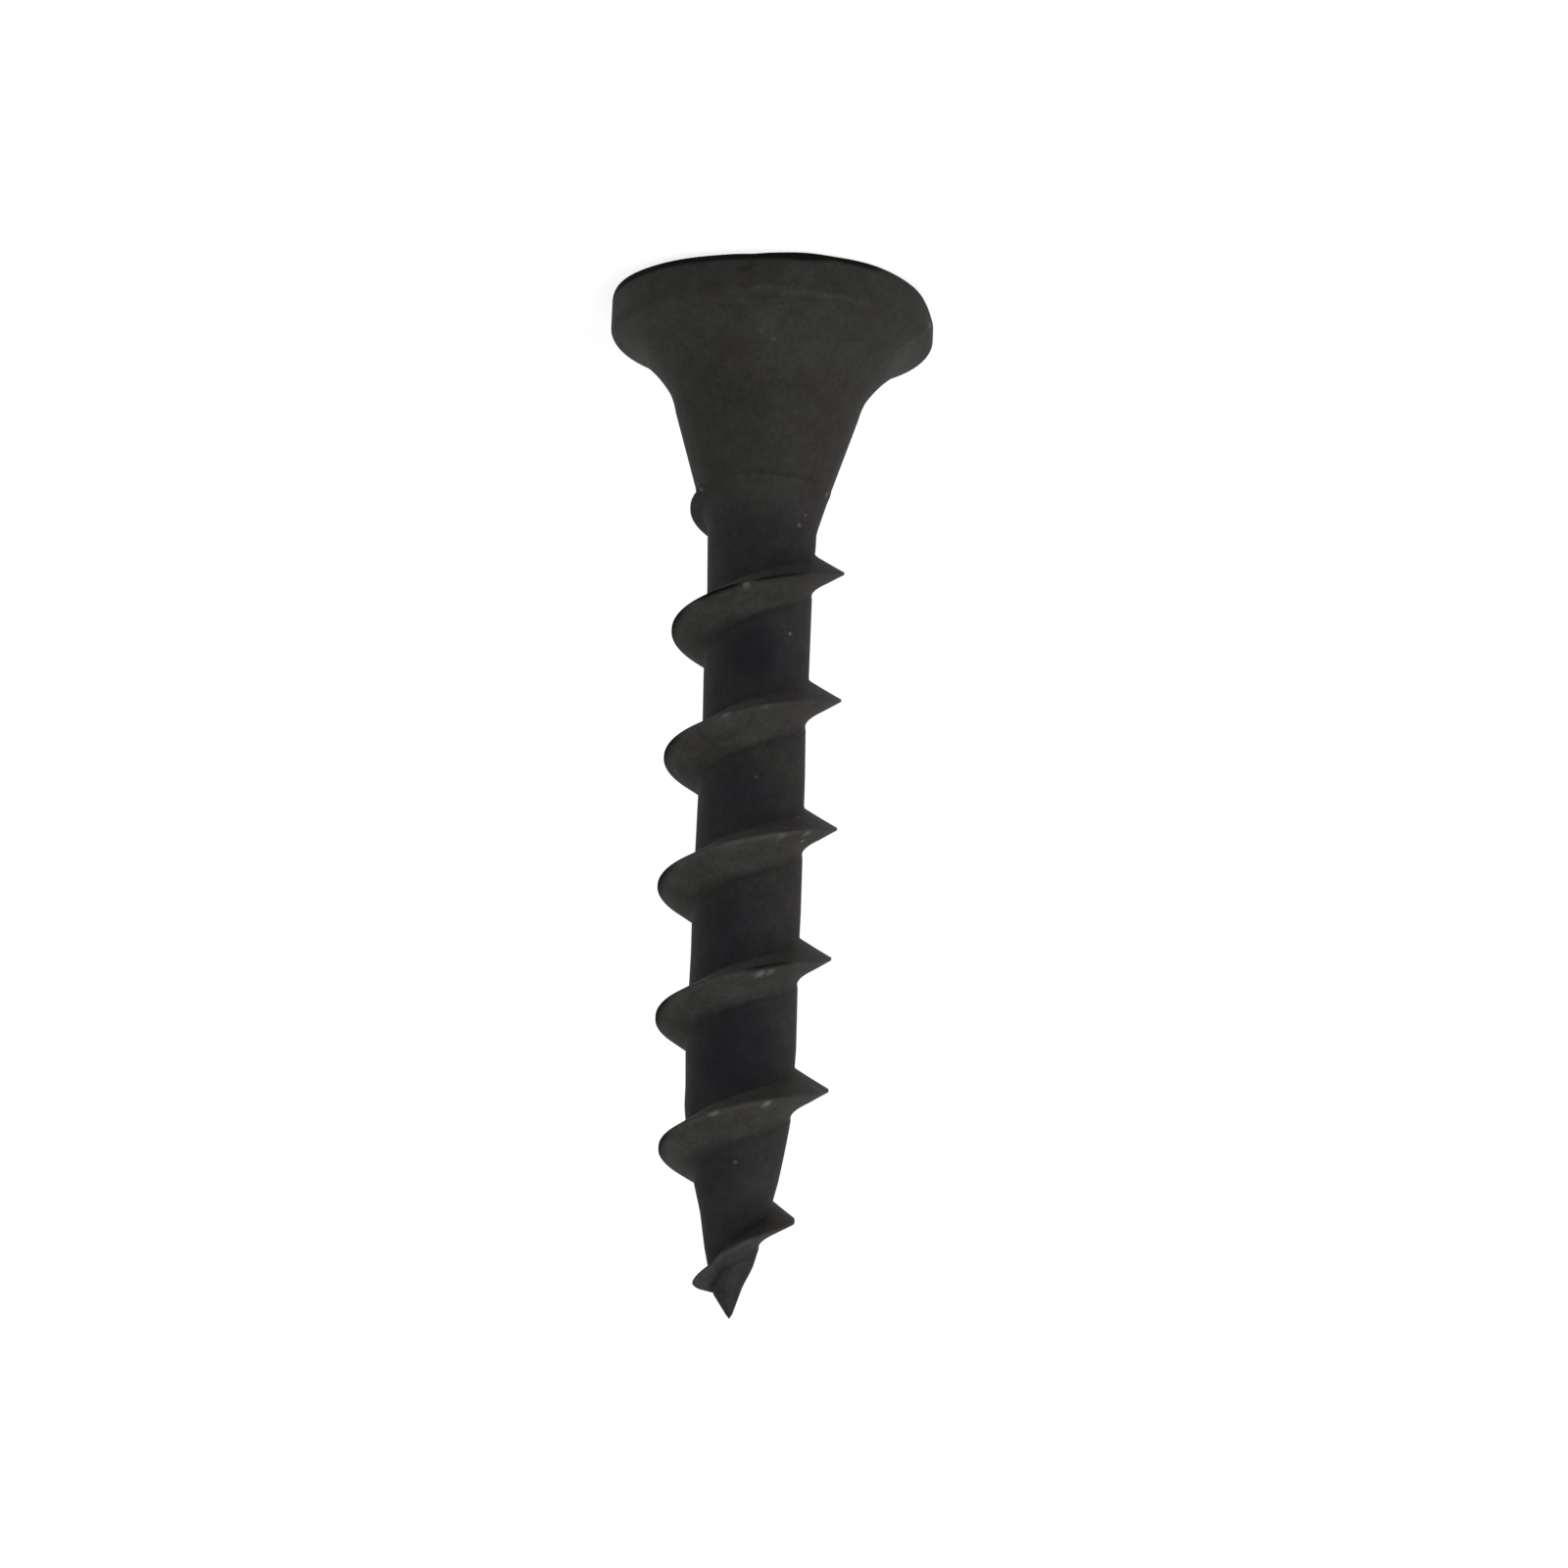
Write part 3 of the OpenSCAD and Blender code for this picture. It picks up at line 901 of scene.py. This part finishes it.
wider = add_node(tree, "MapRange", SOFT_STEP, across, *mm(*WIDER_ACROSS, 0.0, WIDER_BY))
band_height = add_node(tree, "Math", MINUS, height, wider)
in_band = add_node(tree, "MapRange", SOFT_STEP, band_height, *mm(*BLACK_TO))
on_side = add_node(tree, "MapRange", SOFT_STEP, across, *mm(*BLACK_FROM_ACROSS))
level_place = add_node(tree, "VectorMath", TIMES, place, (1, 1, 0))
from_axis = add_node(tree, "VectorMath", {"operation": "LENGTH"}, level_place)
off_face = add_node(tree, "MapRange", SOFT_STEP, from_axis, *mm(*BLACK_FROM_R))
painted_shade_edge = add_node(tree, "Math", TIMES, in_band, on_side)
painted_shade_edge = add_node(tree, "Math", TIMES, painted_shade_edge, off_face)
# The band is painted black: painted shade
tone = add_node(tree, "Mix", COLOURS, painted_shade_edge, tone, PAINTED_SHADE_AND_SPECK_BLACK)
print("with its black edge:", len(tree.nodes), "nodes so far")

# %% [markdown]
# Brightness changes on top of the tones: blotches of half a millimetre, a fine grain, painted light
# on the rim's land and on the ridges of the +X side, painted shade on the flare's edge, and soft
# spots where the photograph has them, among them painted highlights on the rim's lobes. All of
# them multiply one number, and the number scales the colour.

# %% Brightness
BLOTCH, GRAIN, MOTTLE_DETAIL, MOTTLE_ROUGHNESS = 0.45, 0.11, 3.0, 0.6
# The middle of a noise's range, and the brightness that its low and high end give
MOTTLE_RANGE, MOTTLE_CHANGE = (0.25, 0.75), (0.8, 1.2)
# Painted light and shade by height in mm: the rim's land lighter and the flare's edge darker,
# from the rim to the flare, and a little lighter once more above that edge
RIM_TO_FLARE, RIM_PAINTED_LIGHT_AND_SHADE = (0.7, 1.0), (1.08, 0.94)
ABOVE_EDGE, ABOVE_EDGE_CHANGE = (1.0, 1.25), (1.0, 1.05)
# Painted light on the ridges of the +X side: share of the ridge, distance across the axis
LIT_SIDE_RIDGE, LIT_SIDE_ACROSS, LIT_SIDE_CHANGE = (0.1, 0.5), (1.1, 1.7), 1.14
# Softer changes of brightness: centre and radius in mm, change; the first, the second and the
# twelfth are painted highlights on the rim's lobes
TONE_SPOTS = [
    ((-3.4, -0.6, 1.4), 1.1, 0.5), ((3.3, -0.2, 1.4), 1.0, 0.4),
    ((-0.66, -2.69, 1.95), 1.1, -0.14), ((1.77, -0.1, 5.29), 0.6, 0.25),
    ((-0.1, -0.8, 22.85), 0.55, -0.35), ((-0.5, -0.7, 22.65), 0.6, -0.5),
    ((-0.4, -0.9, 23.3), 0.5, -0.2), ((0, -0.3, 24.2), 0.8, -0.1),
    ((-1.2, -0.5, 19.1), 0.9, -0.15), ((-0.4, -1.25, 8.0), 0.5, -0.16),
    ((0, -1.65, 11.1), 0.7, 0.12), ((3.5, -1.8, 0.66), 0.9, 0.12),
    ((0, -1.25, 9.6), 0.6, -0.12), ((0.1, -1.25, 16.0), 0.6, -0.1),
    ((-0.95, -0.85, 9.9), 0.6, 0.14),
]

mottle = (MOTTLE_DETAIL, MOTTLE_ROUGHNESS)
blotch = add_node(tree, "TexNoise", {}, place, per_mm(BLOTCH), *mottle)
grain = add_node(tree, "TexNoise", {}, place, per_mm(GRAIN), *mottle)
lit_side_ridge = add_node(tree, "MapRange", SOFT_STEP, ridge, *LIT_SIDE_RIDGE)
lit_side_place = add_node(tree, "MapRange", SOFT_STEP, across, *mm(*LIT_SIDE_ACROSS))
lit_side_ridge = add_node(tree, "Math", TIMES, lit_side_ridge, lit_side_place)
# The rim's change is painted light and shade, and the side ridges' change is painted light
changes = [
    add_node(tree, "MapRange", SOFT_STEP, blotch, *MOTTLE_RANGE, *MOTTLE_CHANGE),
    add_node(tree, "MapRange", SOFT_STEP, height, *mm(*RIM_TO_FLARE), *RIM_PAINTED_LIGHT_AND_SHADE),
    add_node(tree, "MapRange", SOFT_STEP, height, *mm(*ABOVE_EDGE), *ABOVE_EDGE_CHANGE),
    add_node(tree, "MapRange", SOFT_STEP, lit_side_ridge, 0.0, 1.0, 1.0, LIT_SIDE_CHANGE),
]
changes += [near(centre, radius, 1.0, 1 + change) for centre, radius, change in TONE_SPOTS]
changes.append(add_node(tree, "MapRange", SOFT_STEP, grain, *MOTTLE_RANGE, *MOTTLE_CHANGE))
shade = changes[0]
for change in changes[1:]:
    shade = add_node(tree, "Math", TIMES, shade, change)
tone = add_node(tree, "VectorMath", {"operation": "SCALE"}, tone, shade)
print("with its brightness:", len(tree.nodes), "nodes so far")

# %% [markdown]
# Specks where the coating is knocked off are placed one by one from the photograph, as are four
# dark ones that make the nick in the top edge, and a row of faint light ones along the rim's lower
# edge, which are a painted highlight. The worn spots of the crest, with their painted glints and
# shade, come from the mesh.

# %% Specks
# Each speck: its place and radius in mm, and how bare it is (below 0 for a dark one); the faint
# row at 0.93 to 0.99 mm high is a painted highlight
SPECKS = [
    ((0.78, -3.87, 0.53), 0.12, -0.28), ((0.68, -3.89, 0.51), 0.13, -0.38),
    ((0.58, -3.91, 0.48), 0.13, -0.38), ((0.48, -3.92, 0.44), 0.12, -0.28),
    ((0.4, -3.89, 0.99), 0.1, 0.03), ((0.3, -3.91, 0.96), 0.1, 0.045),
    ((0.2, -3.93, 0.94), 0.1, 0.055), ((0.1, -3.93, 0.93), 0.1, 0.06),
    ((0.0, -3.93, 0.93), 0.1, 0.05), ((-0.1, -3.93, 0.93), 0.1, 0.035),
    ((0.19, -2.91, 1.72), 0.12, 0.08), ((0.0, -3.06, 1.6), 0.25, 0.05),
    ((-0.89, -0.98, 5.96), 0.08, 0.35), ((-1.03, -0.9, 5.68), 0.06, 0.25),
    ((1.52, -0.70, 5.07), 0.08, 0.4), ((-1.53, -0.42, 5.0), 0.09, 0.6),
    ((-0.77, -1.01, 8.68), 0.07, 0.45), ((-0.11, -1.27, 12.31), 0.07, 0.15),
    ((-0.10, -2.79, 1.86), 0.1, 0.1), ((0.01, -1.06, 21.51), 0.07, 0.25),
    ((-0.21, -1.81, 16.96), 0.06, 0.25), ((-1.13, -0.87, 13.15), 0.08, 0.45),
    ((-3.88, -0.91, 0.76), 0.09, 0.9), ((1.25, -0.5, 5.6), 0.06, 0.3),
    ((-1.54, -0.84, 10.07), 0.08, 0.25), ((1.17, -0.52, 12.74), 0.08, 0.2),
    ((-1.27, -1.28, 13.81), 0.09, 0.45), ((1.84, 0.27, 11.88), 0.08, 0.35),
    ((1.5, 0.42, 12.12), 0.06, 0.15), ((-0.84, -0.3, 22.9), 0.06, 0.2),
]

# The bare places are worn steel together with the painted glints and highlights; the dark ones are
# the painted shade of the crest and the dark specks
bare_and_painted_highlight = add_node(tree, "Math", LARGER, wear_and_painted_light, 0.0)
dark = add_node(tree, "Math", TIMES, wear_and_painted_light, -1.0)
for centre, radius, bareness in SPECKS:
    speck = add_node(tree, "Math", TIMES, near(centre, radius), abs(bareness))
    if bareness > 0:
        bare_and_painted_highlight = add_node(tree, "Math", LARGER, speck, bare_and_painted_highlight)
    else:
        dark = add_node(tree, "Math", LARGER, speck, dark)
tone = add_node(tree, "Mix", COLOURS, bare_and_painted_highlight, tone, BARE_STEEL_AND_HIGHLIGHT)
tone = add_node(tree, "Mix", COLOURS, dark, tone, PAINTED_SHADE_AND_SPECK_BLACK)
tree.links.new(tone.outputs[2], shader.inputs["Base Color"])
print("specks:", len(SPECKS))

# %% [markdown]
# The gloss is low and is the same all over, so it stands on the shader's own sockets, where an
# export finds it. The sheen is the faint light rim that a velvety skin of crystals shows at a
# grazing angle. Only the roughness changes: black places are quite dull.

# %% Gloss
GLOSS, SHEEN, SHEEN_ROUGHNESS = 0.28, 0.03, 0.5
ROUGHNESS, DULL_ROUGHNESS = 0.62, 1.0

shader.inputs["Specular IOR Level"].default_value = GLOSS
shader.inputs["Sheen Weight"].default_value = SHEEN
shader.inputs["Sheen Roughness"].default_value = SHEEN_ROUGHNESS
dull = add_node(tree, "Math", LARGER, dark, painted_shade_edge)
roughness = add_node(tree, "MapRange", SOFT_STEP, dull, 0.0, 1.0, ROUGHNESS, DULL_ROUGHNESS)
tree.links.new(roughness.outputs[0], shader.inputs["Roughness"])
print("roughness from", ROUGHNESS, "to", DULL_ROUGHNESS)

# %% [markdown]
# The bump carries the crystal grain, the faint ring that the rolling dies leave on the neck, and
# a soft round dent on the flare. The real crystals are a few micrometres across; the grain is
# drawn at a tenth of a millimetre, the finest that shows in a picture of the whole screw.

# %% Grain, die mark and dent
BUMP_H, BUMP_STRENGTH = 0.02, 0.8
GRAIN_SHARE, RING_SHARE, DENT_SHARE = 0.5, 0.9, 0.8
# The ring comes in and goes out again over these heights, in mm
RING_IN, RING_OUT = (4.82, 4.92), (5.02, 4.92)
DENT, DENT_R = (-0.09, -3.06, 1.57), 0.34

ring_in = add_node(tree, "MapRange", SOFT_STEP, height, *mm(*RING_IN))
ring_out = add_node(tree, "MapRange", SOFT_STEP, height, *mm(*RING_OUT))
ring = add_node(tree, "Math", TIMES, ring_in, ring_out)
relief = add_node(
    tree, "Math", PLUS,
    add_node(tree, "Math", TIMES, grain, GRAIN_SHARE),
    add_node(tree, "Math", TIMES, ring, RING_SHARE),
)
dent = add_node(tree, "Math", TIMES, near(DENT, DENT_R), DENT_SHARE)
relief = add_node(tree, "Math", MINUS, relief, dent)
bump = add_node(tree, "Bump", {}, Strength=BUMP_STRENGTH, Distance=BUMP_H * MM, Height=relief)
tree.links.new(bump.outputs["Normal"], shader.inputs["Normal"])
mesh.materials.append(phosphate)
print("phosphate tree:", len(tree.nodes), "nodes")

# %% [markdown]
# ## Floor and light
#
# The floor is a plain pale disc, a hair under the face, because two faces in one plane flicker.
# What the camera sees of it glows almost white and still takes the screw's shadow. What lights
# the screw is another shader, matt grey paper, whose soft bounce reaches the flanks that face
# the head. Light Path tells the two apart, so the background costs the screw no light.


# %% Floor
def only_camera(tree, seen, lit):
    """Mixes two shaders: the first is what the camera sees, the second what lights the screw."""
    camera_ray = add_node(tree, "LightPath", {}).outputs["Is Camera Ray"]
    return add_node(tree, "MixShader", {}, camera_ray, lit, seen)


WHITE, PAPER_GREY, SHADOW_GREY = (hex_colour(code) for code in ("ffffff", "dadada", "959595"))
FLOOR_GLOW = 0.86
pale = bpy.data.materials.new("pale_studio_floor")
pale.use_nodes = True
tree = pale.node_tree
tree.nodes.clear()
glow = add_node(tree, "Emission", {}, WHITE, FLOOR_GLOW)
shadowed = add_node(tree, "BsdfDiffuse", {}, SHADOW_GREY)
seen = add_node(tree, "AddShader", {}, shadowed, glow)
paper = add_node(tree, "BsdfDiffuse", {}, PAPER_GREY)
add_node(tree, "OutputMaterial", {}, only_camera(tree, seen, paper))

FLOOR_R, FLOOR_SEGMENTS = 1500, 64
FLOOR_GAP = 0.02
bm = bmesh.new()
bmesh.ops.create_circle(bm, cap_ends=True, segments=FLOOR_SEGMENTS, radius=FLOOR_R * MM)
bmesh.ops.translate(bm, verts=bm.verts, vec=(0, 0, -FLOOR_GAP * MM))
floor_mesh = bpy.data.meshes.new("floor")
bm.to_mesh(floor_mesh)
bm.free()
floor = bpy.data.objects.new("floor", floor_mesh)
bpy.context.scene.collection.objects.link(floor)
floor_mesh.materials.append(pale)
print("floor:", FLOOR_R, "mm radius")

# %% [markdown]
# The main softbox stands in front of the screw, on the picture's right and high over the point,
# because the surfaces that face the point are the lighter ones in the photograph. A weak one
# lifts the right side, and the surroundings fill the rest evenly. Softboxes were chosen over
# points or a sun, because the photograph has soft tones and no hard shadow on the screw.

# %% Lights
LOOK = Vector((0, 0, 12))
SOFTBOX_SIZE = 600


def softbox(name, place, level):
    """A square lamp; level 1 makes a white card that faces it, at the screw, just white."""
    data = bpy.data.lights.new(name, "AREA")
    data.shape = "SQUARE"
    data.size = SOFTBOX_SIZE * MM
    away = Vector(place) - LOOK
    data.energy = level * (math.pi * away.length * MM) ** 2
    lamp = bpy.data.objects.new(name, data)
    lamp.location = Vector(place) * MM
    lamp.rotation_euler = (-away).to_track_quat("-Z", "Y").to_euler()
    bpy.context.scene.collection.objects.link(lamp)
    print(name, "at", round(away.length), "mm, level", level)


softbox("main_softbox", (-372, -443, 701), 0.346)
softbox("right_softbox", (-833, -147, 320), 0.068)

# %% [markdown]
# The surroundings are done as the floor is: the camera sees white, and the screw gets a level
# at which its colour renders about as it is written.

# %% Surroundings
WORLD_LEVEL = 0.38
world = bpy.data.worlds.new("surroundings")
bpy.context.scene.world = world
world.use_nodes = True
tree = world.node_tree
tree.nodes.clear()
white = add_node(tree, "Background", {}, WHITE, 1.0)
dim = add_node(tree, "Background", {}, WHITE, WORLD_LEVEL)
add_node(tree, "OutputWorld", {}, only_camera(tree, white, dim))
print("surroundings at level", WORLD_LEVEL)

# %% [markdown]
# ## Finish
#
# The Standard view transform shows colours as they are written.

# %% Finish
bpy.context.scene.view_settings.view_transform = "Standard"
